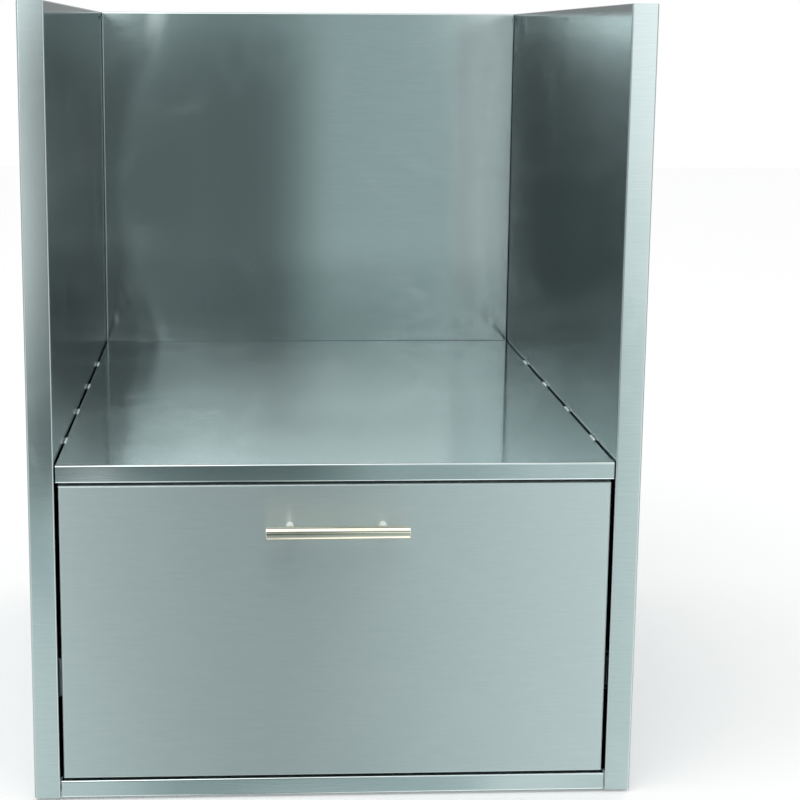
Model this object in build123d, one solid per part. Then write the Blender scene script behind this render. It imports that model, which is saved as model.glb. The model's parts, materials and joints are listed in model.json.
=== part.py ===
from build123d import *
import os

# Grill cabinet with one drawer, folded from stainless sheet. Sizes in millimetres.
# +Z is up, the drawer opens towards -Y, and the origin is at floor level under the middle.

# Cabinet body
cabinet_width = 670.0
cabinet_depth = 762.0
cabinet_height = 876.0  # steel body alone, without the feet below it
wall_thickness = 28.6  # hollow side wall, and the width of its front face
sheet = 1.2  # walls, drawer and covers
deck_sheet = 1.5  # shelf and floor
inside_bend = 0.8  # inner radius of every fold
fold_fit = 0.2  # play between nested or abutting folds
wall_return = 18.0  # edge of a side wall that turns back over its outer cover
cover_lap = 8.0  # overlap of the outer cover behind that edge
cover_flange = 12.0
back_flange = 13.0
back_leg = 20.0  # turned down again at the rear of the upper flange
relief_diameter = 5.0  # fold relief at the upper corners of the back panel
relief_drop = 9.0
top_hole_diameter = 6.5  # countertop screw holes in the top of each wall
top_hole_inset = 9.0  # from the inner wall face
top_hole_end = 100.0  # from the front and rear faces

# Shelf and floor decks
shelf_height = 382.0  # shelf top above the lower edge of the body
lip_height = 20.0  # folded front edge of both decks
lip_return = 12.0
lip_gap = 1.6  # at each end of a front edge
deck_flange = 18.0  # turned down at the sides and rear of both decks
shelf_gap = 1.0  # shelf to side wall
weld_length = 22.0  # stitch weld bridging that gap
weld_diameter = 3.6  # stays within the fold at the edge of the shelf, clear of its flat
weld_rise = 1.3  # crown of a weld above the shelf
weld_bite = 0.4  # into the wall face
weld_taper = 1.2  # at both ends
weld_first = 115.0  # first weld behind the front face
weld_pitch = 152.0
weld_count = 4
stiffener_count = 2
stiffener_depth = 14.0
stiffener_crown = 30.0
stiffener_foot = 12.0

# Drawer front
front_gap_side = 4.0
front_gap_end = 3.0  # under the shelf edge and over the floor edge
front_thickness = 20.0
liner_return = 10.0

# Drawer box
box_lift = 22.0  # drawer box above the floor deck
box_height = 255.0
box_length = 655.0
edge_fold = 12.0  # inward folds at the rim, foot and front end of each side
rim_drop = 6.0
bottom_flange = 8.0
box_back_flange = 12.0

# Ball bearing slides
slide_thickness = 12.7
slide_height = 45.7
slide_length = 650.0
slide_travel = 620.0
slide_setback = 6.0  # behind the drawer front
slide_rise = 90.0  # slide centre above the underside of the drawer box
member_sheet = 1.6
cage_sheet = 0.6
member_gap = 0.4  # between the webs of neighbouring members
outer_ball = 4.2
inner_ball = 3.0
race_depth = 0.4
race_play = 0.1
cage_play = 0.15
cage_edge = 0.6  # cage left outside each ball hole
cage_margin = 10.0  # cage to the ends of the members at full travel
ball_count = 4  # in each row
ball_margin = 14.0
stop_length = 10.0
stop_height = 16.0
stop_reach = 8.0
stop_gap = 0.3
stop_edge = 1.0

# Bar handle
handle_centres = 102.0
handle_length = 156.0
bar_diameter = 15.0
bar_edge = 0.8
post_diameter = 8.0
handle_standoff = 30.5  # drawer face to the axis of the bar
handle_drop = 45.5  # upper edge of the drawer front to that axis
post_fit = 0.05
post_thread = 11.0  # depth of the threaded hole in each post

# Fasteners
screw_diameter = 4.0
screw_play = 0.25
head_diameter = 8.0
head_height = 2.4
head_edge = 1.0  # bevel round the crown
screw_tip = 6.0  # shank beyond the last sheet
slide_screw_tip = 1.0
screw_end = 60.0  # first and last screw from the end of what they hold
back_screws = 5  # each side
front_screws = 3
slide_screws = 4

# Levelling feet
foot_gap = 3.0  # lower edge of the body above the ground
foot_inset_side = 45.0  # from the inner wall face
foot_inset_end = 62.0  # from the front face and the back panel
pad_diameter = 32.0
pad_neck = 18.0
pad_rim = 4.0
pad_height = 10.0
pad_edge = 1.0
stem_diameter = 10.0
stem_seat = 6.0
stem_top = 9.0  # above the floor deck
stem_play = 0.3  # in the nut plate
stem_hole_play = 0.6  # in the floor deck
stem_edge = 0.8
socket_width = 5.0  # hexagon socket in the top of each stem, across its flats
socket_depth = 3.0
plate_size = 44.0
plate_thickness = 5.0

cut_past = 1.0  # how far a cut runs past the face that it starts from

# Places worked out from the sizes above
half_width = cabinet_width / 2
inner_half = half_width - wall_thickness
handle_reach = handle_standoff + bar_diameter / 2
y_front = -(cabinet_depth - handle_reach) / 2
y_rear = y_front + cabinet_depth
back_face = y_rear - back_flange
z_base = foot_gap
z_top = z_base + cabinet_height
floor_top = z_base + lip_height
shelf_top = z_base + shelf_height
deck_rear = back_face - fold_fit
sheet_bend = sheet + inside_bend
deck_bend = deck_sheet + inside_bend

front_half = inner_half - front_gap_side
front_low = floor_top + front_gap_end
front_high = shelf_top - lip_height - front_gap_end
front_rear = y_front + front_thickness
handle_z = front_high - handle_drop
bar_y = y_front - handle_standoff

box_half = inner_half - slide_thickness
box_low = floor_top + box_lift
box_high = box_low + box_height
box_rear = front_rear + box_length
box_inner = box_half - sheet

slide_z = box_low + slide_rise
slide_front = front_rear + slide_setback
slide_rear = slide_front + slide_length
outer_rear = slide_rear + stop_gap + stop_length
cage_front = slide_front + slide_travel / 4 + cage_margin
cage_length = slide_length - slide_travel / 2 - 2 * cage_margin

# Slide section, measured from the wall face and up and down from the slide centre
outer_ball_r = outer_ball / 2
inner_ball_r = inner_ball / 2
outer_half = slide_height / 2
outer_ball_w = outer_half - member_sheet + race_depth - race_play - outer_ball_r
middle_half = outer_ball_w - outer_ball_r - race_play + race_depth
inner_ball_w = middle_half - member_sheet + race_depth - race_play - inner_ball_r
inner_member_half = inner_ball_w - inner_ball_r - race_play + race_depth
outer_cage_u = member_sheet + member_gap
middle_u = outer_cage_u + cage_sheet + member_gap
inner_cage_u = middle_u + member_sheet + member_gap
inner_tip_u = inner_cage_u + cage_sheet + member_gap
outer_ball_u = outer_cage_u + cage_sheet + inside_bend + outer_ball_r + cage_edge
inner_ball_u = inner_tip_u + inner_ball_r + cage_edge
outer_tip_u = outer_ball_u + outer_ball_r + cage_edge
middle_tip_u = slide_thickness - member_sheet - member_gap

shank_r = screw_diameter / 2
hole_r = shank_r + screw_play
head_r = head_diameter / 2
slide_screw_places = [
    slide_front + screw_end + k * (slide_length - 2 * screw_end) / (slide_screws - 1)
    for k in range(slide_screws)
]
back_screw_places = [
    z_base + screw_end + k * (cabinet_height - 2 * screw_end) / (back_screws - 1)
    for k in range(back_screws)
]
front_screw_places = [
    box_low + screw_end + k * (box_height - 2 * screw_end) / (front_screws - 1)
    for k in range(front_screws)
]
back_screw_y = back_face + back_flange / 2
foot_places = {
    "front_left": (foot_inset_side - inner_half, y_front + foot_inset_end),
    "front_right": (inner_half - foot_inset_side, y_front + foot_inset_end),
    "rear_left": (foot_inset_side - inner_half, back_face - foot_inset_end),
    "rear_right": (inner_half - foot_inset_side, back_face - foot_inset_end),
}
handle_places = [-handle_centres / 2, handle_centres / 2]


# Shared forming operations

def block(x0, x1, y0, y1, z0, z1):
    centre = Pos((x0 + x1) / 2, (y0 + y1) / 2, (z0 + z1) / 2)
    return centre * Box(x1 - x0, y1 - y0, z1 - z0)


def rod(radius, start, end):
    run = Vector(*end) - Vector(*start)
    return Part() + Solid.make_cylinder(radius, run.length, Plane(origin=start, z_dir=run))


def folded_pan(blank, axis, closed_high, thickness):
    """A flat face with a flange folded along each of its edges, open on the other side."""
    order = blank.faces().sort_by(axis)
    face = order[-1] if closed_high else order[0]
    pan = fillet(face.edges(), thickness + inside_bend)
    order = pan.faces().sort_by(axis)
    return offset(pan, amount=-thickness, openings=order[0] if closed_high else order[-1])


def folded_strip(points, thickness, length, plane, side):
    """A strip folded along its length: the points give one surface of its section."""
    line = FilletPolyline(*points, radius=thickness + inside_bend)
    section = make_face(offset(line, amount=thickness, side=side))
    return plane * extrude(section, amount=length, dir=(0, 0, 1))


def both(left):
    return left, mirror(left, about=Plane.YZ)


def pan_screw(seat, direction, shank):
    """Pan headed screw: the head stands on the seat, the shank runs along direction."""
    axis = Vector(*direction)
    seat = Vector(*seat)
    head = rod(head_r, tuple(seat), tuple(seat - axis * head_height))
    crown = head.faces().sort_by(Axis(tuple(seat), tuple(axis)))[0]
    head = chamfer(crown.edges(), head_edge)
    return head + rod(shank_r, tuple(seat), tuple(seat + axis * shank))


# Cabinet shell

def side_frame():
    """Left wall: inner face, front, rear, top and bottom folds, and edges turned back outside."""
    blank = block(-half_width, -inner_half, y_front, y_rear, z_base, z_top)
    ends = blank.faces().sort_by(Axis.X)
    shell = fillet(ends[0].edges() + ends[-1].edges(), sheet_bend)
    shell -= offset(shell, amount=-sheet)
    shell -= block(
        -half_width - sheet, -inner_half - sheet_bend, y_front + wall_return, y_rear - wall_return,
        z_base + wall_return, z_top - wall_return,
    )
    for y in (y_front + top_hole_end, y_rear - top_hole_end):
        x = -inner_half - top_hole_inset
        shell -= rod(top_hole_diameter / 2, (x, y, z_top + cut_past), (x, y, z_top - sheet_bend))
    for z in back_screw_places:
        shell -= rod(
            hole_r, (cut_past - inner_half, back_screw_y, z), (-inner_half - sheet_bend, back_screw_y, z)
        )
    for y in slide_screw_places:
        shell -= rod(
            hole_r, (cut_past - inner_half, y, slide_z), (-inner_half - sheet_bend, y, slide_z)
        )
    return shell


def side_cover():
    """Outer skin of the left wall, lapped behind the turned-back edges."""
    edge = wall_return - cover_lap
    x = -half_width + sheet
    blank = block(
        x, x + cover_flange, y_front + edge, y_rear - edge, z_base + edge, z_top - edge
    )
    return folded_pan(blank, Axis.X, False, sheet)


def back_panel():
    """Sheet with a flange all round; the upper flange has a second leg down its rear."""
    half = inner_half - fold_fit
    blank = block(-half, half, back_face, y_rear, z_base, z_top)
    panel = folded_pan(blank, Axis.Y, False, sheet)
    panel -= block(-half, half, y_rear - sheet_bend, y_rear + cut_past, z_top - sheet_bend, z_top + cut_past)
    leg_half = half - sheet - fold_fit
    panel += folded_strip(
        [(back_face + sheet_bend, z_top), (y_rear, z_top), (y_rear, z_top - back_leg)],
        sheet, 2 * leg_half, Plane.YZ.offset(-leg_half), Side.RIGHT,
    )
    for side in (-1, 1):
        x = side * (half - sheet_bend)
        z = z_top - relief_drop
        panel -= rod(relief_diameter / 2, (x, back_face - cut_past, z), (x, back_face + sheet_bend, z))
        for z in back_screw_places:
            start, end = side * (half + cut_past), side * (half - sheet_bend)
            panel -= rod(hole_r, (start, back_screw_y, z), (end, back_screw_y, z))
    return panel


def back_panel_screws():
    seat = inner_half - fold_fit - sheet
    shank = 2 * sheet + fold_fit + screw_tip
    return [
        pan_screw((side * seat, back_screw_y, z), (side, 0, 0), shank)
        for side in (-1, 1) for z in back_screw_places
    ]


def lipped_deck(top, gap):
    """Deck with flanges turned down at the sides and rear, and a folded front edge."""
    half = inner_half - gap
    deck = block(-half, half, y_front + lip_return, deck_rear, top - deck_flange, top)
    rims = deck.faces().sort_by(Axis.Z)[-1].edges().sort_by(Axis.Y)[1:]
    deck = fillet(rims, deck_bend)
    openings = [deck.faces().sort_by(Axis.Z)[0], deck.faces().sort_by(Axis.Y)[0]]
    deck = offset(deck, amount=-deck_sheet, openings=openings)
    lip_half = inner_half - lip_gap
    lip = folded_strip(
        [
            (y_front + lip_return, top),
            (y_front, top),
            (y_front, top - lip_height),
            (y_front + lip_return, top - lip_height),
        ],
        deck_sheet, 2 * lip_half, Plane.YZ.offset(-lip_half), Side.LEFT,
    )
    return deck + lip


def floor_pan():
    floor = lipped_deck(floor_top, fold_fit)
    for x, y in foot_places.values():
        floor -= rod(
            stem_diameter / 2 + stem_hole_play, (x, y, floor_top + cut_past), (x, y, floor_top - deck_bend)
        )
    return floor


def shelf_stiffeners():
    """Hat sections across the underside of the shelf."""
    half = inner_half - shelf_gap - deck_sheet - inside_bend
    under = shelf_top - deck_sheet
    crown = stiffener_crown / 2
    foot = crown + stiffener_foot
    section = [
        (-foot, under), (-crown, under), (-crown, under - stiffener_depth),
        (crown, under - stiffener_depth), (crown, under), (foot, under),
    ]
    hat = folded_strip(section, sheet, 2 * half, Plane.YZ.offset(-half), Side.RIGHT)
    step = (deck_rear - y_front) / (stiffener_count + 1)
    return [Pos(0, y_front + step * (k + 1), 0) * hat for k in range(stiffener_count)]


def shelf_welds(shelf, walls):
    """Stitch welds that hold the shelf between the walls, shaped by the edges that they join."""
    radius = weld_diameter / 2
    z = shelf_top + weld_rise - radius
    beads = []
    for side, wall in zip((-1, 1), walls):
        x = side * (inner_half + weld_bite - radius)
        for k in range(weld_count):
            y = y_front + weld_first + k * weld_pitch
            bead = rod(radius, (x, y - weld_length / 2, z), (x, y + weld_length / 2, z))
            bead = chamfer(bead.edges().filter_by(GeomType.CIRCLE), weld_taper) - shelf - wall
            beads.append(bead.solids().sort_by(SortBy.VOLUME)[-1])
    return beads


# Levelling feet

def foot_nut_plates():
    half = plate_size / 2
    top = floor_top - deck_sheet
    plates = []
    for x, y in foot_places.values():
        plate = block(x - half, x + half, y - half, y + half, top - plate_thickness, top)
        bore_top, bore_end = top + cut_past, top - plate_thickness - cut_past
        plates.append(plate - rod(stem_diameter / 2 + stem_play, (x, y, bore_top), (x, y, bore_end)))
    return plates


def foot_pad(x, y):
    profile = Polyline(
        (0, 0), (pad_diameter / 2, 0), (pad_diameter / 2, pad_rim),
        (pad_neck / 2, pad_height), (0, pad_height), close=True,
    )
    pad = revolve(Plane.XZ * make_face(profile), Axis.Z)
    rim = pad.edges().filter_by(GeomType.CIRCLE).group_by(Axis.Z)[1]
    pad = chamfer(rim, pad_edge)
    pad -= rod(stem_diameter / 2 + post_fit, (0, 0, pad_height + cut_past), (0, 0, pad_height - stem_seat))
    return Pos(x, y, 0) * pad


def foot_stem(x, y):
    top = floor_top + stem_top
    stem = rod(stem_diameter / 2, (0, 0, pad_height - stem_seat), (0, 0, top))
    stem = chamfer(stem.edges().group_by(Axis.Z)[-1], stem_edge)
    socket = RegularPolygon(socket_width / 2, side_count=6, major_radius=False)
    stem -= Pos(0, 0, top - socket_depth) * extrude(socket, amount=socket_depth + cut_past)
    return Pos(x, y, 0) * stem


# Drawer

def drawer_front_skin():
    blank = block(-front_half, front_half, y_front, front_rear - sheet, front_low, front_high)
    skin = folded_pan(blank, Axis.Y, False, sheet)
    for x in handle_places:
        skin -= rod(hole_r, (x, y_front - cut_past, handle_z), (x, y_front + sheet_bend, handle_z))
    return skin


def drawer_front_liner():
    inset = sheet + fold_fit
    blank = block(
        inset - front_half, front_half - inset, front_rear - liner_return, front_rear,
        front_low + inset, front_high - inset,
    )
    liner = folded_pan(blank, Axis.Y, True, sheet)
    places = [(x, handle_z) for x in handle_places]
    places += [
        (side * (box_half - edge_fold / 2), z) for side in (-1, 1) for z in front_screw_places
    ]
    for x, z in places:
        liner -= rod(hole_r, (x, front_rear + cut_past, z), (x, front_rear - sheet_bend, z))
    return liner


def drawer_side():
    """Left side: folded rim, foot that carries the bottom, and a tab behind the drawer front."""
    section = [
        (edge_fold - box_half, box_high - rim_drop),
        (edge_fold - box_half, box_high),
        (-box_half, box_high),
        (-box_half, box_low),
        (edge_fold - box_half, box_low),
    ]
    plane = Plane.XZ.offset(-box_rear)
    side = folded_strip(section, sheet, box_length, plane, Side.LEFT)
    side += block(
        -box_half + sheet / 2, edge_fold - box_half, front_rear, front_rear + sheet,
        box_low + sheet / 2, box_high - sheet / 2,
    )
    for z in front_screw_places:
        x = edge_fold / 2 - box_half
        side -= rod(hole_r, (x, front_rear - cut_past, z), (x, front_rear + sheet_bend, z))
    for y in slide_screw_places:
        side -= rod(hole_r, (-box_half - cut_past, y, slide_z), (sheet_bend - box_half, y, slide_z))
    return side


def drawer_bottom():
    """Flat bottom on the feet of the sides, with its front and rear edges turned down between them."""
    half = box_inner - inside_bend
    top = box_low + 2 * sheet
    front = front_rear + sheet + fold_fit
    rear = box_rear - box_back_flange - fold_fit
    inner = box_half - edge_fold - fold_fit
    section = [
        (front, top - bottom_flange), (front, top), (rear, top), (rear, top - bottom_flange)
    ]
    tray = folded_strip(section, sheet, 2 * half, Plane.YZ.offset(-half), Side.RIGHT)
    for side in (-1, 1):
        low, high = sorted((side * inner, side * (half + cut_past)))
        foot = top - bottom_flange - cut_past
        for y in (front, rear):
            tray -= block(low, high, y - sheet_bend, y + sheet_bend, foot, top - sheet)
    return tray


def drawer_back():
    half = box_inner - fold_fit
    blank = block(
        -half, half, box_rear - box_back_flange, box_rear, box_low + sheet, box_high - rim_drop - fold_fit
    )
    blank = fillet(blank.edges().filter_by(Axis.Y), sheet_bend + inside_bend)
    return folded_pan(blank, Axis.Y, False, sheet)


def drawer_front_screws():
    seat = front_rear + sheet
    return [
        pan_screw((side * (box_half - edge_fold / 2), seat, z), (0, -1, 0), 2 * sheet + screw_tip)
        for side in (-1, 1) for z in front_screw_places
    ]


# Bar handle

def handle_bar():
    half = handle_length / 2
    bar = rod(bar_diameter / 2, (-half, bar_y, handle_z), (half, bar_y, handle_z))
    return fillet(bar.edges().filter_by(GeomType.CIRCLE), bar_edge)


def handle_post(x):
    post = rod(post_diameter / 2, (x, y_front, handle_z), (x, bar_y, handle_z))
    reach = post_diameter
    post -= rod(bar_diameter / 2 + post_fit, (x - reach, bar_y, handle_z), (x + reach, bar_y, handle_z))
    tapped = y_front - post_thread - cut_past
    return post - rod(hole_r, (x, y_front + cut_past, handle_z), (x, tapped, handle_z))


def handle_screws():
    shank = front_thickness + post_thread
    return [pan_screw((x, front_rear, handle_z), (0, -1, 0), shank) for x in handle_places]


# Ball bearing slides, left hand, in slide coordinates

def slide_channel(u_web, u_tip, half, thickness, start, end):
    section = [(u_tip, half), (u_web, half), (u_web, -half), (u_tip, -half)]
    side = Side.LEFT if u_tip > u_web else Side.RIGHT
    return folded_strip(section, thickness, end - start, Plane.XZ.offset(-end), side)


def cut_races(member, u, w, radius):
    for side in (-1, 1):
        member -= rod(
            radius + race_play, (u, slide_front - cut_past, side * w), (u, outer_rear + cut_past, side * w)
        )
    return member


def ball_places(u, w):
    pitch = (cage_length - 2 * ball_margin) / (ball_count - 1)
    return [
        (u, cage_front + ball_margin + k * pitch, side * w)
        for side in (-1, 1) for k in range(ball_count)
    ]


def balls(u, w, radius):
    return [Pos(*place) * Sphere(radius) for place in ball_places(u, w)]


def cage(u_web, u_ball, w, radius):
    tip = u_ball + radius + cage_edge
    half = w + cage_sheet / 2
    strip = slide_channel(u_web, tip, half, cage_sheet, cage_front, cage_front + cage_length)
    for u, y, level in ball_places(u_ball, w):
        strip -= rod(radius + cage_play, (u, y, level - cage_sheet), (u, y, level + cage_sheet))
    return strip


def countersink(bore, top, y):
    """Cone through the web of the outer member, wide on the side that faces the drawer."""
    return Part() + Solid.make_cone(bore, top, member_sheet, Plane(origin=(0, y, 0), z_dir=(1, 0, 0)))


def slide_outer():
    member = slide_channel(0, outer_tip_u, outer_half, member_sheet, slide_front, outer_rear)
    member = cut_races(member, outer_ball_u, outer_ball_w, outer_ball_r)
    for y in slide_screw_places:
        member -= countersink(hole_r, head_r + screw_play, y)
    return member


def slide_middle():
    member = slide_channel(middle_u, middle_tip_u, middle_half, member_sheet, slide_front, slide_rear)
    member = cut_races(member, outer_ball_u, outer_ball_w, outer_ball_r)
    return cut_races(member, inner_ball_u, inner_ball_w, inner_ball_r)


def slide_inner():
    member = slide_channel(
        slide_thickness, inner_tip_u, inner_member_half, member_sheet, slide_front, slide_rear
    )
    member = cut_races(member, inner_ball_u, inner_ball_w, inner_ball_r)
    for y in slide_screw_places:
        member -= rod(hole_r, (slide_thickness + cut_past, y, 0), (inner_tip_u, y, 0))
    return member


def slide_stop():
    """Rubber buffer at the rear of the outer member."""
    stop = block(
        member_sheet, member_sheet + stop_reach, slide_rear + stop_gap, outer_rear,
        -stop_height / 2, stop_height / 2,
    )
    edges = stop.faces().sort_by(Axis.Y)[0].edges()
    return fillet(edges, stop_edge)


def slide_outer_screws():
    return [
        countersink(shank_r, head_r, y) + rod(shank_r, (0, y, 0), (-sheet - screw_tip, y, 0))
        for y in slide_screw_places
    ]


def slide_inner_screws():
    seat = slide_thickness + sheet
    shank = sheet + member_sheet + slide_screw_tip
    return [pan_screw((seat, y, 0), (-1, 0, 0), shank) for y in slide_screw_places]


# Every piece by name

pieces = {}


def add_pair(name, left):
    pieces[name + "_left"], pieces[name + "_right"] = both(left)


def on_wall(shape):
    return Pos(-inner_half, 0, slide_z) * shape


add_pair("side_frame", side_frame())
add_pair("side_cover", side_cover())
pieces["back_panel"] = back_panel()
pieces["back_panel_screws"] = back_panel_screws()
pieces["floor_pan"] = floor_pan()
pieces["shelf_deck"] = lipped_deck(shelf_top, shelf_gap)
pieces["shelf_stiffeners"] = shelf_stiffeners()
pieces["shelf_welds"] = shelf_welds(
    pieces["shelf_deck"], (pieces["side_frame_left"], pieces["side_frame_right"])
)
pieces["foot_nut_plates"] = foot_nut_plates()
for corner, (x, y) in foot_places.items():
    pieces["foot_pad_" + corner] = foot_pad(x, y)
    pieces["foot_stem_" + corner] = foot_stem(x, y)

pieces["drawer_front_skin"] = drawer_front_skin()
pieces["drawer_front_liner"] = drawer_front_liner()
add_pair("drawer_side", drawer_side())
pieces["drawer_bottom"] = drawer_bottom()
pieces["drawer_back"] = drawer_back()
pieces["drawer_front_screws"] = drawer_front_screws()
pieces["handle_bar"] = handle_bar()
for hand, x in zip(("left", "right"), handle_places):
    pieces["handle_post_" + hand] = handle_post(x)
pieces["handle_screws"] = handle_screws()

add_pair("slide_outer", on_wall(slide_outer()))
add_pair("slide_middle", on_wall(slide_middle()))
add_pair("slide_inner", on_wall(slide_inner()))
add_pair("slide_cage_outer", on_wall(cage(outer_cage_u, outer_ball_u, outer_ball_w, outer_ball_r)))
add_pair("slide_cage_inner", on_wall(cage(inner_cage_u, inner_ball_u, inner_ball_w, inner_ball_r)))
add_pair("slide_stop", on_wall(slide_stop()))
slide_groups = {
    "slide_balls_outer": balls(outer_ball_u, outer_ball_w, outer_ball_r),
    "slide_balls_inner": balls(inner_ball_u, inner_ball_w, inner_ball_r),
    "slide_outer_screws": slide_outer_screws(),
    "slide_inner_screws": slide_inner_screws(),
}
for name, group in slide_groups.items():
    add_pair(name, Compound(children=[on_wall(piece) for piece in group]))

os.makedirs("parts", exist_ok=True)
for name, shape in pieces.items():
    if isinstance(shape, list):
        shape = Compound(children=shape)
    export_step(shape, "parts/" + name + ".step")
print(len(pieces), "nodes written")
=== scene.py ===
import json
import math

import bmesh
import bpy
from mathutils import Matrix, Vector


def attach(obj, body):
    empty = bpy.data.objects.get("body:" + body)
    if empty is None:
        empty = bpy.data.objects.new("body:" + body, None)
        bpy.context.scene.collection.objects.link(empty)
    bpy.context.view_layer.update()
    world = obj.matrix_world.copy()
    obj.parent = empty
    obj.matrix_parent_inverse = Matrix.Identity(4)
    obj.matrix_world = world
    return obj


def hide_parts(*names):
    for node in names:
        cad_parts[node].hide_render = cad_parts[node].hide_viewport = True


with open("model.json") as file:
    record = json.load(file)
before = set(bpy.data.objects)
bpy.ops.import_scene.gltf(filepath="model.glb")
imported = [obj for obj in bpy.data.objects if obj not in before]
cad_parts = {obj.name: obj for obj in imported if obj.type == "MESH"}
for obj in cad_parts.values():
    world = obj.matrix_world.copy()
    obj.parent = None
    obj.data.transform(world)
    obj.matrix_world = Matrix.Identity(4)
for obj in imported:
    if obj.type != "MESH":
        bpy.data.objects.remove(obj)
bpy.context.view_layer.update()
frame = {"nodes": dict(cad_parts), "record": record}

nodes = frame["nodes"]
slotOf = {part["node"]: part["material_slot"] for part in frame["record"]["subparts"]}
bodyOf = {name: body for body, names in frame["record"]["behaviour"]["bodies"].items() for name in names}
scene = bpy.context.scene
scene.view_settings.view_transform = "Standard"
print("frame:", len(nodes), "nodes")


# shader node helpers
def feed(tree, socket, value):
    if isinstance(value, bpy.types.NodeSocket):
        tree.links.new(value, socket)
    else:
        socket.default_value = value


def addNode(tree, kind, inputs=None, **settings):
    node = tree.nodes.new(kind)
    for name, value in settings.items():
        setattr(node, name, value)
    for name, value in (inputs or {}).items():
        feed(tree, node.inputs[name], value)
    return node


def maths(tree, operation, first, second=0.0, third=0.0):
    terms = {0: first, 1: second, 2: third}
    return addNode(tree, "ShaderNodeMath", terms, operation=operation).outputs[0]


def ease(tree, value, low, high, toLow=0.0, toHigh=1.0):
    return addNode(tree, "ShaderNodeMapRange", {
        "Value": value, "From Min": low, "From Max": high, "To Min": toLow, "To Max": toHigh,
    }, interpolation_type="SMOOTHSTEP").outputs["Result"]


def mixColour(tree, factor, first, second):
    node = addNode(tree, "ShaderNodeMix", None, data_type="RGBA")
    for place, value in ((0, factor), (6, first), (7, second)):
        feed(tree, node.inputs[place], value)
    return node.outputs[2]


def mixValue(tree, factor, first, second):
    return addNode(tree, "ShaderNodeMix", {0: factor, 2: first, 3: second}).outputs[0]


def scaled(tree, vector, scale):
    return addNode(tree, "ShaderNodeVectorMath", {0: vector, 1: scale}, operation="MULTIPLY").outputs[0]


def noise(tree, vector, scale, detail=2.0, roughness=0.5, distortion=0.0):
    return addNode(tree, "ShaderNodeTexNoise", {
        "Vector": vector, "Scale": scale, "Detail": detail, "Roughness": roughness,
        "Distortion": distortion,
    }).outputs["Fac"]


def bump(tree, height, distance, strength=1.0, normal=None):
    node = addNode(tree, "ShaderNodeBump", {
        "Height": height, "Strength": strength, "Distance": distance,
    })
    if normal is not None:
        tree.links.new(normal, node.inputs["Normal"])
    return node.outputs["Normal"]


def startGroup(name, inputs, outputs):
    tree = bpy.data.node_groups.new(name, "ShaderNodeTree")
    for label, kind, value in inputs:
        socket = tree.interface.new_socket(label, in_out="INPUT", socket_type="NodeSocket" + kind)
        if value is not None:
            socket.default_value = value
    for label in outputs:
        tree.interface.new_socket(label, in_out="OUTPUT", socket_type="NodeSocketFloat")
    return tree, tree.nodes.new("NodeGroupInput").outputs, tree.nodes.new("NodeGroupOutput").inputs


def placeGroup(tree, group, **inputs):
    node = addNode(tree, "ShaderNodeGroup", None, node_tree=group)
    for name, value in inputs.items():
        feed(tree, node.inputs[name], value)
    return node.outputs


def startMaterial(name):
    material = bpy.data.materials.new(name)
    material.use_nodes = True
    tree = material.node_tree
    place = addNode(tree, "ShaderNodeTexCoord").outputs["Object"]
    return material, tree, tree.nodes["Principled BSDF"], place


# brushed grain: fine streaks drawn out along one axis
def makeGrainGroup():
    tree, ins, outs = startGroup("brushedGrain", [
        ("Place", "Vector", None), ("Stretch", "Vector", (1, 1, 1)),
    ], ["Streak", "Band"])
    drawn = scaled(tree, ins["Place"], ins["Stretch"])
    feed(tree, outs["Streak"], ease(tree, noise(tree, drawn, 1.0, 3.0, 0.65), 0.25, 0.75))
    feed(tree, outs["Band"], noise(tree, scaled(tree, drawn, (0.35, 0.35, 0.35)), 1.0, 1.0))
    return tree


# slow hollows of a folded sheet
def makeWaveGroup():
    tree, ins, outs = startGroup("sheetWave", [
        ("Place", "Vector", None), ("Waves", "Float", 3.0),
    ], ["Height"])
    feed(tree, outs["Height"], noise(tree, ins["Place"], ins["Waves"], 1.0, 0.4))
    return tree


# cloudy marks that a wiping cloth and hands leave
def makeRubGroup():
    tree, ins, outs = startGroup("rubMarks", [
        ("Place", "Vector", None), ("Size", "Float", 8.0),
    ], ["Mask"])
    cloud = noise(tree, ins["Place"], ins["Size"], 4.0, 0.6, 0.8)
    feed(tree, outs["Mask"], ease(tree, cloud, 0.48, 0.72))
    return tree


# bloom of a plated part: flecks and slow clouds
def makeBloomGroup():
    tree, ins, outs = startGroup("platedBloom", [
        ("Place", "Vector", None), ("Flecks", "Float", 300.0),
    ], ["Fleck", "Cloud"])
    flake = addNode(tree, "ShaderNodeTexVoronoi", {"Vector": ins["Place"], "Scale": ins["Flecks"]})
    feed(tree, outs["Fleck"], flake.outputs["Distance"])
    feed(tree, outs["Cloud"], noise(tree, ins["Place"], 25.0, 3.0))
    return tree


# moulded skin of nylon and rubber
def makeMouldGroup():
    tree, ins, outs = startGroup("mouldedSkin", [
        ("Place", "Vector", None), ("Fineness", "Float", 900.0),
    ], ["Height", "Shade"])
    feed(tree, outs["Height"], noise(tree, ins["Place"], ins["Fineness"], 3.0, 0.7))
    feed(tree, outs["Shade"], noise(tree, ins["Place"], 60.0, 2.0))
    return tree


grainGroup = makeGrainGroup()
waveGroup = makeWaveGroup()
rubGroup = makeRubGroup()
bloomGroup = makeBloomGroup()
mouldGroup = makeMouldGroup()


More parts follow.
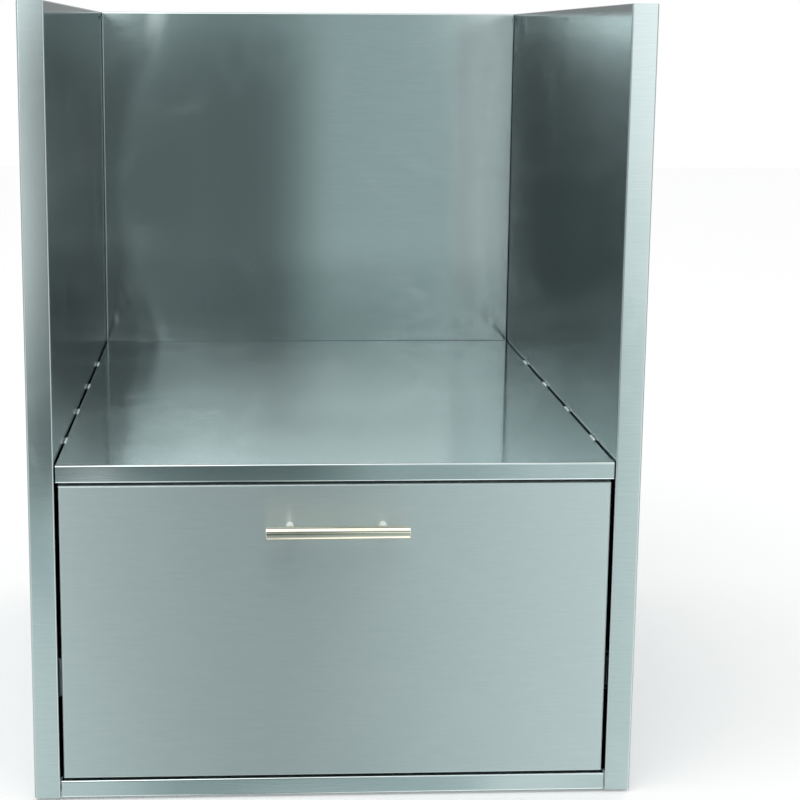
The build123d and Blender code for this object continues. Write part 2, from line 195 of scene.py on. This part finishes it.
# brushed sheet; "stretch" draws the grain out, "smear" is the way across it
def brushedSteel(name, look, shape=None):
    material, tree, shader, place = startMaterial(name)
    grain = placeGroup(tree, grainGroup, Place=place, Stretch=look["stretch"])
    wave = placeGroup(tree, waveGroup, Place=place, Waves=look["waves"])
    rub = placeGroup(tree, rubGroup, Place=place, Size=look["rubSize"])
    tone = mixColour(tree, grain["Streak"], look["dark"], look["light"])
    tone = mixColour(tree, maths(tree, "MULTIPLY", rub["Mask"], look["rub"]), tone, look["rubbed"])
    if "seam" in look:  # painted shade: a dark line in the seam along the rear edge
        depth = addNode(tree, "ShaderNodeSeparateXYZ", {0: place}).outputs["Y"]
        tone = mixColour(tree, ease(tree, depth, *look["seam"]), tone, look["grime"])
    feed(tree, shader.inputs["Base Color"], tone)
    shader.inputs["Metallic"].default_value = look["metal"]
    rough = mixValue(tree, grain["Band"], *look["roughness"])
    feed(tree, shader.inputs["Roughness"],
         maths(tree, "MULTIPLY_ADD", rub["Mask"], look["rub"] * look["haze"], rough))
    shader.inputs["Anisotropic"].default_value = look["anisotropy"]
    shader.inputs["Specular Tint"].default_value = (look["edge"], look["edge"], look["edge"], 1)
    tangent = addNode(tree, "ShaderNodeCombineXYZ", dict(zip("XYZ", look["smear"])))
    tree.links.new(tangent.outputs[0], shader.inputs["Tangent"])
    slow = bump(tree, wave["Height"], look["hollow"])
    if shape:
        slow = bump(tree, shape(tree, place), 1.0, normal=slow)
    fine = bump(tree, grain["Streak"], look["groove"], look["bite"], slow)
    tree.links.new(fine, shader.inputs["Normal"])
    return material


# the back sheet is sprung along its folds: on the left it leans out in the middle and in at both ends,
# with a soft ridge there, and on the right it comes forward a little
def springHeight(tree, place):
    look = {"middle": 0.62, "soft": 0.04, "lean": (0.19, -0.032), "left": (-0.36, -0.16),
            "ridge": (0.22, -0.30), "ridgeEnds": (0.12, 0.24), "width": 0.04, "rise": 0.0005,
            "right": (0.10, 0.50), "forward": 0.0023}
    steepest = 1.5  # slope of an eased step at its middle
    axes = addNode(tree, "ShaderNodeSeparateXYZ", {0: place}).outputs
    far = maths(tree, "SUBTRACT", axes["Z"], look["middle"])
    far = maths(tree, "SQRT", maths(tree, "MULTIPLY_ADD", far, far, look["soft"] ** 2))
    lean = maths(tree, "MULTIPLY_ADD", far, *look["lean"])
    reach = (look["left"][0] - look["left"][1]) / steepest
    flank = ease(tree, axes["X"], *look["left"], reach, 0.0)
    ridge = maths(tree, "MULTIPLY_ADD", far, *look["ridge"])
    step = ease(tree, maths(tree, "SUBTRACT", axes["X"], ridge), 0.0, look["width"])
    ends = ease(tree, far, *look["ridgeEnds"], 0.0, look["rise"])
    rightSide = ease(tree, axes["X"], *look["right"], 0.0, look["forward"])
    height = maths(tree, "MULTIPLY_ADD", step, ends, rightSide)
    return maths(tree, "MULTIPLY_ADD", lean, flank, height)


sheetLook = {
    "dark": (0.63, 0.69, 0.69, 1), "light": (0.67, 0.73, 0.73, 1), "rubbed": (0.69, 0.74, 0.74, 1),
    "metal": 1.0, "rub": 0.35, "rubSize": 7.0, "haze": 0.1, "stretch": (30, 30, 900),
    "waves": 3.0, "hollow": 0.0008, "roughness": (0.08, 0.10), "anisotropy": 0.6,
    "smear": (0, 0.05, 1), "groove": 0.00002, "bite": 0.25, "edge": 0.48,
}
backLook = dict(sheetLook, roughness=(0.10, 0.12), anisotropy=0.8)
# the deck's seam colour is painted shade, a dark line in the crease at its rear edge
deckLook = dict(sheetLook, stretch=(30, 900, 900), smear=(0, 1, 0.3), roughness=(0.07, 0.09),
                anisotropy=0.3, edge=1.0, seam=(0.3836, 0.3848), grime=(0.10, 0.12, 0.12, 1))
faceLook = dict(sheetLook, dark=(0.48, 0.55, 0.55, 1), light=(0.52, 0.59, 0.59, 1),
                rubbed=(0.53, 0.59, 0.59, 1), stretch=(30, 900, 900), roughness=(0.34, 0.38),
                anisotropy=0.95, metal=0.9, edge=1.0, bite=0.1, rub=0.2)
boxLook = dict(sheetLook, stretch=(300, 40, 300), roughness=(0.26, 0.32), anisotropy=0.4, rub=0.6,
               smear=(0.3, 0.05, 1))
ribLook = dict(boxLook, stretch=(30, 500, 500), dark=(0.50, 0.60, 0.59, 1), light=(0.56, 0.66, 0.65, 1))


# handle: a turned and polished bar on bead-blasted posts
def handleSteel(name, look):
    material, tree, shader, place = startMaterial(name)
    grain = placeGroup(tree, grainGroup, Place=place, Stretch=look["stretch"])
    rub = placeGroup(tree, rubGroup, Place=place, Size=look["rubSize"])
    tone = mixColour(tree, grain["Streak"], look["base"], look["streak"])
    feed(tree, shader.inputs["Base Color"], tone)
    shader.inputs["Metallic"].default_value = look["metal"]
    feed(tree, shader.inputs["Roughness"], mixValue(tree, rub["Mask"], *look["roughness"]))
    tree.links.new(bump(tree, grain["Streak"], look["groove"], look["bite"]), shader.inputs["Normal"])
    return material


barLook = {"base": (0.84, 0.79, 0.64, 1), "streak": (0.90, 0.86, 0.72, 1), "roughness": (0.08, 0.12),
           "metal": 1.0, "stretch": (60, 1500, 1500), "rubSize": 30.0, "groove": 0.00001, "bite": 0.3}
postLook = dict(barLook, base=(0.90, 0.90, 0.84, 1), streak=(0.96, 0.96, 0.90, 1),
                roughness=(0.45, 0.55), metal=0.25, stretch=(1500, 1500, 1500))


# plated steel of slides, cages, stems and screws
def platedSteel(name, look):
    material, tree, shader, place = startMaterial(name)
    bloom = placeGroup(tree, bloomGroup, Place=place, Flecks=look["flecks"])
    tone = mixColour(tree, bloom["Cloud"], look["cool"], look["warm"])
    tone = mixColour(tree, maths(tree, "MULTIPLY", bloom["Fleck"], look["share"]), tone, look["fleck"])
    feed(tree, shader.inputs["Base Color"], tone)
    shader.inputs["Metallic"].default_value = 1.0
    feed(tree, shader.inputs["Roughness"], mixValue(tree, bloom["Cloud"], *look["roughness"]))
    tree.links.new(bump(tree, bloom["Fleck"], look["pit"], look["bite"]), shader.inputs["Normal"])
    return material


zincLook = {"cool": (0.58, 0.63, 0.68, 1), "warm": (0.66, 0.67, 0.62, 1), "fleck": (0.74, 0.77, 0.79, 1),
            "flecks": 420.0, "share": 0.35, "roughness": (0.42, 0.55), "pit": 0.00003, "bite": 0.4}
cageLook = dict(zincLook, cool=(0.50, 0.53, 0.56, 1), warm=(0.58, 0.57, 0.52, 1), roughness=(0.3, 0.42))
screwLook = dict(zincLook, cool=(0.66, 0.70, 0.71, 1), warm=(0.72, 0.73, 0.71, 1), flecks=1500.0,
                 roughness=(0.18, 0.26))
ballLook = dict(zincLook, cool=(0.80, 0.82, 0.84, 1), warm=(0.84, 0.85, 0.85, 1), flecks=3000.0,
                roughness=(0.04, 0.08))


# weld: rippled metal, its near-white colour partly a painted highlight, straw coloured here and there
def weldMetal():
    look = {"bright": (0.92, 0.94, 0.94, 1), "straw": (0.80, 0.74, 0.62, 1), "burnt": (0.55, 0.75),
            "roughness": (0.22, 0.34), "flecks": 900.0, "pit": 0.00005, "bite": 0.5}
    material, tree, shader, place = startMaterial("weldMetal")
    bloom = placeGroup(tree, bloomGroup, Place=place, Flecks=look["flecks"])
    burnt = ease(tree, bloom["Cloud"], *look["burnt"])
    # the near-white bead colour is partly a painted highlight
    feed(tree, shader.inputs["Base Color"], mixColour(tree, burnt, look["bright"], look["straw"]))
    shader.inputs["Metallic"].default_value = 1.0
    feed(tree, shader.inputs["Roughness"], mixValue(tree, bloom["Fleck"], *look["roughness"]))
    tree.links.new(bump(tree, bloom["Fleck"], look["pit"], look["bite"]), shader.inputs["Normal"])
    return material


# nylon of the feet and rubber of the stops
def mouldedPlastic(name, look):
    material, tree, shader, place = startMaterial(name)
    skin = placeGroup(tree, mouldGroup, Place=place, Fineness=look["fineness"])
    feed(tree, shader.inputs["Base Color"], mixColour(tree, skin["Shade"], look["deep"], look["pale"]))
    feed(tree, shader.inputs["Roughness"], mixValue(tree, skin["Shade"], *look["roughness"]))
    tree.links.new(bump(tree, skin["Height"], look["grit"], look["bite"]), shader.inputs["Normal"])
    return material


nylonLook = {"deep": (0.012, 0.012, 0.013, 1), "pale": (0.03, 0.03, 0.031, 1), "fineness": 1200.0,
             "roughness": (0.42, 0.55), "grit": 0.0001, "bite": 0.35}
rubberLook = dict(nylonLook, deep=(0.015, 0.015, 0.015, 1), fineness=700.0, roughness=(0.7, 0.85),
                  bite=0.5)

materials = {
    "body_steel": brushedSteel("bodySteel", sheetLook),
    "deck_steel": brushedSteel("deckSteel", deckLook),
    "drawer_face_steel": brushedSteel("drawerFaceSteel", faceLook),
    "drawer_box_steel": brushedSteel("drawerBoxSteel", boxLook),
    "stiffener_steel": brushedSteel("stiffenerSteel", ribLook),
    "weld_bead": weldMetal(),
    "handle_steel": handleSteel("handleSteel", barLook),
    "screw_steel": platedSteel("screwSteel", screwLook),
    "slide_zinc": platedSteel("slideZinc", zincLook),
    "cage_steel": platedSteel("cageSteel", cageLook),
    "ball_steel": platedSteel("ballSteel", ballLook),
    "buffer_rubber": mouldedPlastic("bufferRubber", rubberLook),
    "foot_nylon": mouldedPlastic("footNylon", nylonLook),
    "stem_zinc": platedSteel("stemZinc", zincLook),
}
postSteel = handleSteel("handlePostSteel", postLook)
ownFinish = {  # nodes that depart from the finish of their slot
    "back_panel": brushedSteel("backPanelSteel", backLook, springHeight),
    "handle_post_left": postSteel,
    "handle_post_right": postSteel,
}
for name, thing in nodes.items():
    thing.material_slots[0].material = ownFinish.get(name, materials[slotOf[name]])
print("materials:", len(materials), "and", len(ownFinish), "nodes with their own")


# separate solids of a node, each as the list of its corners in millimetres
def solidsOf(name):
    mesh = nodes[name].data
    root = list(range(len(mesh.vertices)))

    def top(index):
        while root[index] != index:
            root[index] = root[root[index]]
            index = root[index]
        return index

    firstAt = {}
    for corner in mesh.vertices:  # corners that share a place belong together
        key = tuple(round(value, 6) for value in corner.co)
        root[top(corner.index)] = top(firstAt.setdefault(key, corner.index))
    for edge in mesh.edges:
        root[top(edge.vertices[0])] = top(edge.vertices[1])
    groups = {}
    for corner in mesh.vertices:
        groups.setdefault(top(corner.index), []).append(corner.co * 1000)
    return list(groups.values())


def boxOf(corners):
    low = Vector([min(c[axis] for c in corners) for axis in range(3)])
    high = Vector([max(c[axis] for c in corners) for axis in range(3)])
    return low, high


# closed skin over rings of points given in millimetres, with a point at each end
def stackRings(mesh, rings, firstPoint, lastPoint):
    start = mesh.verts.new(firstPoint / 1000)
    end = mesh.verts.new(lastPoint / 1000)
    loops = [[mesh.verts.new(point / 1000) for point in ring] for ring in rings]
    count = len(loops[0])
    for k in range(count):
        follow = (k + 1) % count
        mesh.faces.new((start, loops[0][follow], loops[0][k]))
        mesh.faces.new((end, loops[-1][k], loops[-1][follow]))
        for lower, upper in zip(loops, loops[1:]):
            mesh.faces.new((lower[k], lower[follow], upper[follow], upper[k]))


def addPiece(node, shapeSolid, crease):
    mesh = bmesh.new()
    for corners in solidsOf(node):
        shapeSolid(mesh, corners)
    bmesh.ops.recalc_face_normals(mesh, faces=mesh.faces)
    words = node.split("_")
    name = words[0] + "".join(word.title() for word in words[1:])
    data = bpy.data.meshes.new(name)
    mesh.to_mesh(data)
    mesh.free()
    data.polygons.foreach_set("use_smooth", [True] * len(data.polygons))
    data.set_sharp_from_angle(angle=math.radians(crease))
    data.materials.append(materials[slotOf[node]])
    piece = bpy.data.objects.new(name, data)
    scene.collection.objects.link(piece)
    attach(piece, bodyOf[node])
    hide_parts(node)
    return piece


# screw with a six-lobed recess, laid over its solid
def shapeScrew(mesh, corners):
    look = {"recess": 1.5, "lobes": 6, "lobe": 0.14, "depth": 1.3, "floor": 0.82, "mouth": 0.15,
            "flare": 0.12, "land": 0.15, "bevel": 0.1, "rim": 0.25, "round": 1.0, "tip": 0.6, "sides": 48}
    low, high = boxOf(corners)
    size = high - low
    axis = min(range(3), key=lambda k: abs(size[(k + 1) % 3] - size[(k + 2) % 3]))
    sideA, sideB = (axis + 1) % 3, (axis + 2) % 3
    middle = (low + high) / 2

    def spread(corner):
        return math.hypot(corner[sideA] - middle[sideA], corner[sideB] - middle[sideB])

    edge, core = 0.05, 0.5  # slack at a face, and less than any shank's radius
    lowWidth = max(spread(c) for c in corners if c[axis] < low[axis] + edge)
    highWidth = max(spread(c) for c in corners if c[axis] > high[axis] - edge)
    facing = 1 if highWidth > lowWidth else -1  # the way that the head looks
    crown = high[axis] if facing > 0 else low[axis]
    headRadius, length = size[sideA] / 2, size[axis]
    shank = min(spread(c) for c in corners if spread(c) > core)
    seat = min(abs(crown - c[axis]) for c in corners if core < spread(c) < shank + edge)
    turns = [2 * math.pi * k / look["sides"] for k in range(look["sides"])]

    def point(radius, turn, depth):
        spot = middle.copy()
        spot[sideA] += radius * math.cos(turn)
        spot[sideB] += radius * math.sin(turn)
        spot[axis] = crown - facing * depth
        return spot

    def lobed(radius, depth):
        return [point(radius * (1 + look["lobe"] * math.cos(look["lobes"] * turn)), turn, depth)
                for turn in turns]

    def ring(radius, depth):
        return [point(radius, turn, depth) for turn in turns]

    rings = [lobed(look["floor"] * look["recess"], look["depth"]), lobed(look["recess"], look["mouth"]),
             lobed(look["recess"] + look["flare"], 0.0)]
    if max(lowWidth, highWidth) > headRadius - edge:  # countersunk: full width at its flat top
        rings += [ring(headRadius - look["land"], 0.0), ring(headRadius, look["bevel"])]
    else:
        rings.append(ring(headRadius - look["round"], 0.0))
        for part in (0.25, 0.5, 0.75, 1.0):
            turn = part * math.pi / 2
            rings.append(ring(headRadius - look["round"] * (1 - math.sin(turn)),
                              look["round"] * (1 - math.cos(turn))))
        rings += [ring(headRadius, seat - look["rim"]), ring(headRadius - look["bevel"], seat)]
    rings += [ring(shank, seat), ring(shank, length - look["tip"]), ring(shank - look["tip"], length)]
    stackRings(mesh, rings, point(0, 0, look["depth"]), point(0, 0, length))


# stitch weld: a bead of overlapping ripples
def shapeWeld(mesh, corners):
    look = {"ripples": 8, "dip": 0.12, "chevron": 0.05, "steps": 72, "sides": 18, "cap": 0.2,
            "blunt": 0.02}
    low, high = boxOf(corners)
    middle, half = (low + high) / 2, (high - low) / 2
    rings = []
    for step in range(1, look["steps"]):
        along = -1 + 2 * step / look["steps"]
        over = max(0.0, abs(along) - 1 + look["cap"]) / look["cap"]
        cap = math.sqrt(max(look["blunt"], 1 - over * over))
        ring = []
        for k in range(look["sides"]):
            turn = 2 * math.pi * k / look["sides"]
            wave = look["ripples"] * (along + look["chevron"] * math.cos(turn) ** 2) / 2
            full = cap * (1 - look["dip"] * (wave % 1.0) ** 2)
            ring.append(middle + Vector((half.x * full * math.cos(turn), half.y * along,
                                         half.z * full * math.sin(turn))))
        rings.append(ring)
    stackRings(mesh, rings, Vector((middle.x, low.y, middle.z)), Vector((middle.x, high.y, middle.z)))


# levelling stem: a helical thread with a hexagon socket in its top
def shapeStem(mesh, corners):
    look = {"pitch": 1.5, "depth": 0.55, "rows": 6, "sides": 36, "socket": 2.5, "sink": 3.0, "lead": 1.0,
            "taper": 0.8}
    low, high = boxOf(corners)
    centre = (low + high) / 2
    radius = (high.x - low.x) / 2
    turns = [2 * math.pi * k / look["sides"] for k in range(look["sides"])]

    def point(reach, turn, z):
        return Vector((centre.x + reach * math.cos(turn), centre.y + reach * math.sin(turn), z))

    def hexagon(z):
        return [point(look["socket"] / math.cos(turn % (math.pi / 3) - math.pi / 6), turn, z)
                for turn in turns]

    rings = [hexagon(high.z - look["sink"]), hexagon(high.z)]
    rings.append([point(radius - look["taper"], turn, high.z) for turn in turns])
    count = int((high.z - low.z - 2 * look["lead"]) / look["pitch"] * look["rows"])
    for row in range(count + 1):
        z = high.z - look["lead"] - row * look["pitch"] / look["rows"]
        ring = []
        for turn in turns:
            phase = (z / look["pitch"] - turn / (2 * math.pi)) % 1.0
            ring.append(point(radius - look["depth"] * (1 - abs(2 * phase - 1)), turn, z))
        rings.append(ring)
    rings.append([point(radius - look["taper"], turn, low.z) for turn in turns])
    stackRings(mesh, rings, point(0, 0, high.z - look["sink"]), point(0, 0, low.z))


creases = {"screw": 35, "stem": 50, "weld": 60}  # degrees past which an edge stays sharp
for name in sorted(nodes):
    if "_screws" in name:
        addPiece(name, shapeScrew, creases["screw"])
    if name.startswith("foot_stem"):
        addPiece(name, shapeStem, creases["stem"])
addPiece("shelf_welds", shapeWeld, creases["weld"])
print("screws, stems and welds done")


# floor: white where it is looked at, and open to the room's light in the steel
def makeFloor():
    look = {"half": 9.0, "colour": (0.98, 0.98, 0.98, 1), "roughness": (0.7, 0.8)}
    half = look["half"]
    mesh = bpy.data.meshes.new("studioFloor")
    mesh.from_pydata([(-half, -half, 0), (half, -half, 0), (half, half, 0), (-half, half, 0)],
                     [], [(0, 1, 2, 3)])
    floor = bpy.data.objects.new("studioFloor", mesh)
    scene.collection.objects.link(floor)
    material, tree, shader, place = startMaterial("floorPaint")
    feed(tree, shader.inputs["Roughness"], mixValue(tree, noise(tree, place, 30.0), *look["roughness"]))
    shader.inputs["Base Color"].default_value = look["colour"]
    shader.inputs["Specular IOR Level"].default_value = 0.1
    rays = addNode(tree, "ShaderNodeLightPath").outputs
    clear = addNode(tree, "ShaderNodeBsdfTransparent").outputs[0]
    blend = addNode(tree, "ShaderNodeMixShader", {
        0: rays["Is Glossy Ray"], 1: shader.outputs[0], 2: clear,
    })
    tree.links.new(blend.outputs[0], tree.nodes["Material Output"].inputs["Surface"])
    mesh.materials.append(material)


# room: white to the eye, and to the steel a studio of pale and dim walls, its dim parts a little green
def makeRoom():
    look = {
        "fill": 1.0, "upperRise": (11.8, 16.1), "floorRise": (-14.5, -17.0),
        "ceiling": 0.2, "ceilingRise": (38, 48), "ceilingBehind": (-0.05, -0.25),
        # degrees from straight ahead of the drawer, and level
        "wallStops": [(-180, 0.9), (-174, 0.55), (-130, 0.5), (-98, 0.5), (-92, 0.85), (-88, 0.85),
                      (-82, 0.5), (-60, 0.6), (-30, 1.0), (-20, 1.2), (-14.2, 0.42), (-9.9, 0.22),
                      (-9.0, 2.3), (-8.2, 2.1), (-7.3, 1.4), (-6.2, 0.55), (-2, 0.44), (0, 0.37),
                      (2, 0.44), (7, 0.47), (14, 0.72), (16.5, 1.3), (30, 1.2), (60, 0.6), (82, 0.5),
                      (88, 0.85), (92, 0.85), (98, 0.5), (130, 0.5), (174, 0.55), (180, 0.9)],
        "floorStops": [(-180, 0.7), (-135, 0.45), (-90, 0.7), (-50, 0.5), (-20, 1.1), (-10, 0.95),
                       (-7, 0.75), (-5, 0.70), (-1, 0.25), (2, 0.27), (8, 0.56), (10, 0.85), (12, 0.85),
                       (13.2, 0.7), (14.5, 0.72), (17, 1.4), (30, 1.2), (60, 0.45), (95, 0.7),
                       (135, 0.45), (180, 0.7)],
        "upperStops": [(-180, 1.1), (-30, 1.1), (-14, 1.1), (-11, 2.0), (-9, 1.8), (-7, 1.3), (-4, 1.0),
                       (0, 0.95), (2, 0.75), (7, 0.75), (11, 1.2), (20, 1.1), (180, 1.1)],
        "patches": [
            {"turn": -11, "rise": 1.5, "wide": 2, "high": 3.5, "level": 0.1},
            {"turn": -14.2, "rise": 2.5, "wide": 2.8, "high": 4.5, "level": 8.0},
            {"turn": 8, "rise": 2.5, "wide": 2.4, "high": 4, "level": 1.3},
            {"turn": 17, "rise": 4, "wide": 12, "high": 18, "level": 1.35},
            {"turn": -7.2, "rise": -14.5, "wide": 2.4, "high": 8, "level": 0.32},
            {"turn": 3.2, "rise": 10.8, "wide": 4.8, "high": 2.8, "level": 0.08},
            {"turn": -7, "rise": 10.8, "wide": 1.6, "high": 3, "level": 0.6},
            {"turn": 2, "rise": -27, "wide": 8, "high": 3, "level": 0.8},
            {"turn": -5.2, "rise": -15, "wide": 1.6, "high": 2.5, "level": 1.2},
        ],
        # degrees up, and share of the level kept: belts in front, and past "beltTurn" at the sides
        "belts": [(-90, 1.6), (-48, 1.6), (-38, 0.9), (-29, 1.0), (8, 1.0), (10.5, 0.55), (15.5, 1.9),
                  (21, 1.7), (25, 0.35), (37, 0.35), (44, 1.2), (90, 1.2)],
        "sideBelts": [(-90, 0.8), (-45, 0.7), (-31, 0.8), (-22, 1.25), (-12, 0.9), (10, 1.0), (30, 1.3),
                      (90, 1.2)],
        "beltTurn": (25, 45),
        # level and colour in front, and one colour at the sides
        "tints": [(0.2, (0.72, 1, 1)), (0.5, (0.79, 1, 1)), (0.85, (0.88, 1, 1)), (1.2, (0.95, 1, 1)),
                  (1.9, (0.90, 1, 1))],
        "sideTint": (0.96, 1, 1, 1), "tintAhead": (0.6, 0.9), "tintSpan": 2.0,
    }
    world = bpy.data.worlds.new("studioRoom")
    scene.world = world
    world.use_nodes = True
    world.cycles.sampling_method = "NONE"  # so that steel sees only its own branch of the room
    tree = world.node_tree
    way = addNode(tree, "ShaderNodeTexCoord").outputs["Generated"]
    axes = addNode(tree, "ShaderNodeSeparateXYZ", {0: way}).outputs
    ahead = maths(tree, "MULTIPLY", axes["Y"], -1.0)
    turn = maths(tree, "DEGREES", maths(tree, "ARCTAN2", axes["X"], ahead))
    rise = maths(tree, "DEGREES", maths(tree, "ARCSINE", axes["Z"]))

    def ramped(value, span, stopList):  # eased between stops over a value that runs from -span to span
        share = maths(tree, "MULTIPLY_ADD", value, 0.5 / span, 0.5)
        ramp = addNode(tree, "ShaderNodeValToRGB", {"Fac": share})
        ramp.color_ramp.interpolation = "EASE"
        stops = ramp.color_ramp.elements
        while len(stops) < len(stopList):
            stops.new(0.5)
        for stop, (spot, level) in zip(stops, stopList):
            stop.position = spot / span / 2 + 0.5
            stop.color = (*level, 1) if isinstance(level, tuple) else (level, level, level, 1)
        return ramp.outputs["Color"]

    level = mixValue(tree, ease(tree, rise, *look["floorRise"]),
                     ramped(turn, 180, look["wallStops"]), ramped(turn, 180, look["floorStops"]))
    for patch in look["patches"]:
        across = maths(tree, "DIVIDE", maths(tree, "SUBTRACT", turn, patch["turn"]), patch["wide"])
        upward = maths(tree, "DIVIDE", maths(tree, "SUBTRACT", rise, patch["rise"]), patch["high"])
        square = maths(tree, "MULTIPLY", upward, upward)
        far = maths(tree, "SQRT", maths(tree, "MULTIPLY_ADD", across, across, square))
        level = mixValue(tree, ease(tree, far, 0.0, 1.0, 1.0, 0.0), level, patch["level"])
    level = mixValue(tree, ease(tree, rise, *look["upperRise"]), level,
                     ramped(turn, 180, look["upperStops"]))
    belt = mixValue(tree, ease(tree, maths(tree, "ABSOLUTE", turn), *look["beltTurn"]),
                    ramped(rise, 90, look["belts"]), ramped(rise, 90, look["sideBelts"]))
    level = maths(tree, "MULTIPLY", level, belt)
    ceiling = maths(tree, "MULTIPLY", ease(tree, rise, *look["ceilingRise"]),
                    ease(tree, ahead, *look["ceilingBehind"]))
    level = mixValue(tree, ceiling, level, look["ceiling"])
    rays = addNode(tree, "ShaderNodeLightPath").outputs
    seen = mixValue(tree, rays["Is Camera Ray"], look["fill"], 1.0)
    seen = mixValue(tree, rays["Is Transmission Ray"], seen, 1.0)
    seen = mixValue(tree, rays["Is Glossy Ray"], seen, level)
    background = tree.nodes["Background"]
    feed(tree, background.inputs["Strength"], seen)
    tint = mixColour(tree, ease(tree, ahead, *look["tintAhead"]), look["sideTint"],
                     ramped(level, look["tintSpan"], look["tints"]))
    feed(tree, background.inputs["Color"], mixColour(tree, rays["Is Glossy Ray"], (1, 1, 1, 1), tint))


# dim card in front, as a studio flag: only steel sees it
def makeCard():
    look = {"depth": -1.2, "left": -0.8, "right": 0.6, "foot": 0.01, "top": 1.3, "dimming": 0.65,
            "sides": (-0.54, -0.40, -0.03, 0.15), "heights": (0.05, 0.20, 0.74, 1.06)}
    mesh = bpy.data.meshes.new("dimCard")
    mesh.from_pydata([(look[x], look["depth"], look[z]) for x, z in (
        ("left", "foot"), ("right", "foot"), ("right", "top"), ("left", "top"))], [], [(0, 1, 2, 3)])
    card = bpy.data.objects.new("dimCard", mesh)
    scene.collection.objects.link(card)
    card.visible_camera = False
    material, tree, shader, place = startMaterial("dimCloth")
    axes = addNode(tree, "ShaderNodeSeparateXYZ", {0: place}).outputs
    mask = look["dimming"]
    for axis, stops in (("X", look["sides"]), ("Z", look["heights"])):
        mask = maths(tree, "MULTIPLY", mask, ease(tree, axes[axis], stops[0], stops[1]))
        mask = maths(tree, "MULTIPLY", mask, ease(tree, axes[axis], stops[2], stops[3], 1.0, 0.0))
    rays = addNode(tree, "ShaderNodeLightPath").outputs
    shader.inputs["Base Color"].default_value = (0.01, 0.01, 0.01, 1)
    shader.inputs["Specular IOR Level"].default_value = 0.0
    clear = addNode(tree, "ShaderNodeBsdfTransparent").outputs[0]
    share = maths(tree, "MULTIPLY", mask, rays["Is Glossy Ray"])
    blend = addNode(tree, "ShaderNodeMixShader", {0: share, 1: clear, 2: shader.outputs[0]})
    tree.links.new(blend.outputs[0], tree.nodes["Material Output"].inputs["Surface"])
    mesh.materials.append(material)


# one wide soft lamp overhead
def makeLamp():
    look = {"place": (-0.9, -1.5, 3.2), "aim": (0, 0, 0.4), "size": 2.4, "power": 24.0}
    data = bpy.data.lights.new("keyLamp", "AREA")
    data.size, data.energy = look["size"], look["power"]
    lamp = bpy.data.objects.new("keyLamp", data)
    lamp.location = look["place"]
    sight = Vector(look["aim"]) - lamp.location
    lamp.rotation_euler = sight.to_track_quat("-Z", "Y").to_euler()
    scene.collection.objects.link(lamp)


# camera at the photograph's viewing angle; turns in degrees
def makeCamera():
    look = {"place": (-0.1085, -2.1119, 0.8395), "lens": 74.671, "down": 9.579, "right": 2.637,
            "roll": -0.284, "shift": (0.11, -0.10)}
    down, right, roll = (math.radians(look[name]) for name in ("down", "right", "roll"))
    ahead = Vector((math.sin(right) * math.cos(down), math.cos(right) * math.cos(down), -math.sin(down)))
    across = Vector((math.cos(right), -math.sin(right), 0))
    upward = across.cross(ahead)
    sideAxis = across * math.cos(roll) - upward * math.sin(roll)
    upAxis = across * math.sin(roll) + upward * math.cos(roll)
    data = bpy.data.cameras.new("viewCamera")
    data.sensor_width = 36.0
    data.lens = look["lens"]
    data.shift_x, data.shift_y = look["shift"]
    data.clip_end = 60.0
    camera = bpy.data.objects.new("viewCamera", data)
    turned = Matrix((sideAxis, upAxis, -ahead)).transposed().to_4x4()
    camera.matrix_world = Matrix.Translation(look["place"]) @ turned
    scene.collection.objects.link(camera)
    scene.camera = camera


makeFloor()
makeRoom()
makeCard()
makeLamp()
makeCamera()
print("stage, lamp and camera done")
